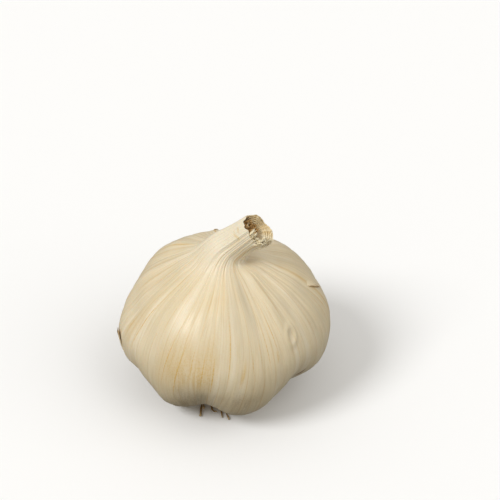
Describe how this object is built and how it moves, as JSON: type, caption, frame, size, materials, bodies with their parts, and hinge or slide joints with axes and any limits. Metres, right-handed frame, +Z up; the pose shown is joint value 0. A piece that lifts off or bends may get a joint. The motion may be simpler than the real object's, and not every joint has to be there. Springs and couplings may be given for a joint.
{
  "type": "garlic bulb",
  "caption": "Whole garlic bulb in its papery skin, with a cut neck leaning to one side and dry trimmed roots, standing on its lobed foot.",
  "frame": {"origin": "on the surface that the bulb stands on, under the middle of its bounding box", "axes": "+Z up through the bulb; -Y towards the viewer of the picture; the neck leans towards +X"},
  "size_m": [0.0616, 0.0583, 0.058],
  "materials": {
    "outer_skin": "thin dry papery skin, ivory with fine tan veins, a soft low sheen",
    "inner_leaf": "dry leaf sheath, matte cream to tan",
    "dry_pith": "dry brown fibrous pith, matte",
    "dry_root": "dry brown roots and corky plate, matte"
  },
  "bodies": {
    "root": {"wrapped_bulb": "outer_skin", "inner_sheath": "inner_leaf", "neck_pith": "dry_pith", "root_plate": "dry_root"}
  },
  "joints": []
}
